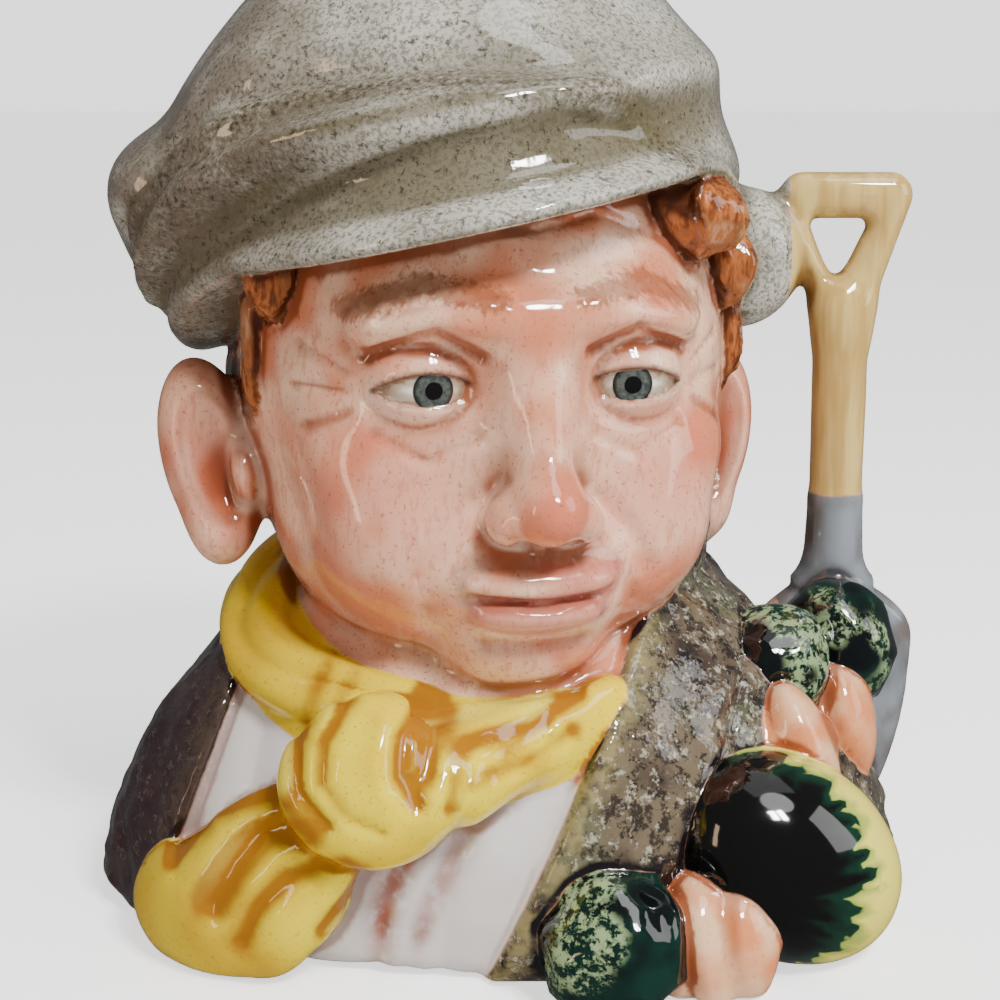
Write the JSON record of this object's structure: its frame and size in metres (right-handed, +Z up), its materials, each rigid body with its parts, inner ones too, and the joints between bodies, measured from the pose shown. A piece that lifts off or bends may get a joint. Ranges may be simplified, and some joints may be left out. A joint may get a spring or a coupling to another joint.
{
  "type": "character jug",
  "caption": "Glazed ceramic jug shaped as a gardener's head and shoulders in a flat cap, with a spade as its handle and vegetables at the foot; hollow, open at the top of the cap.",
  "frame": {"origin": "under the middle of the jug's box, on the surface it stands on", "axes": "+Z up, the face looks along -Y and a little towards the handle, which is on the +X side"},
  "size_m": [0.1652, 0.1348, 0.182],
  "materials": {
    "glaze": "clear gloss glaze over hand-painted colours"
  },
  "bodies": {
    "root": {"jug": "glaze"}
  },
  "joints": []
}
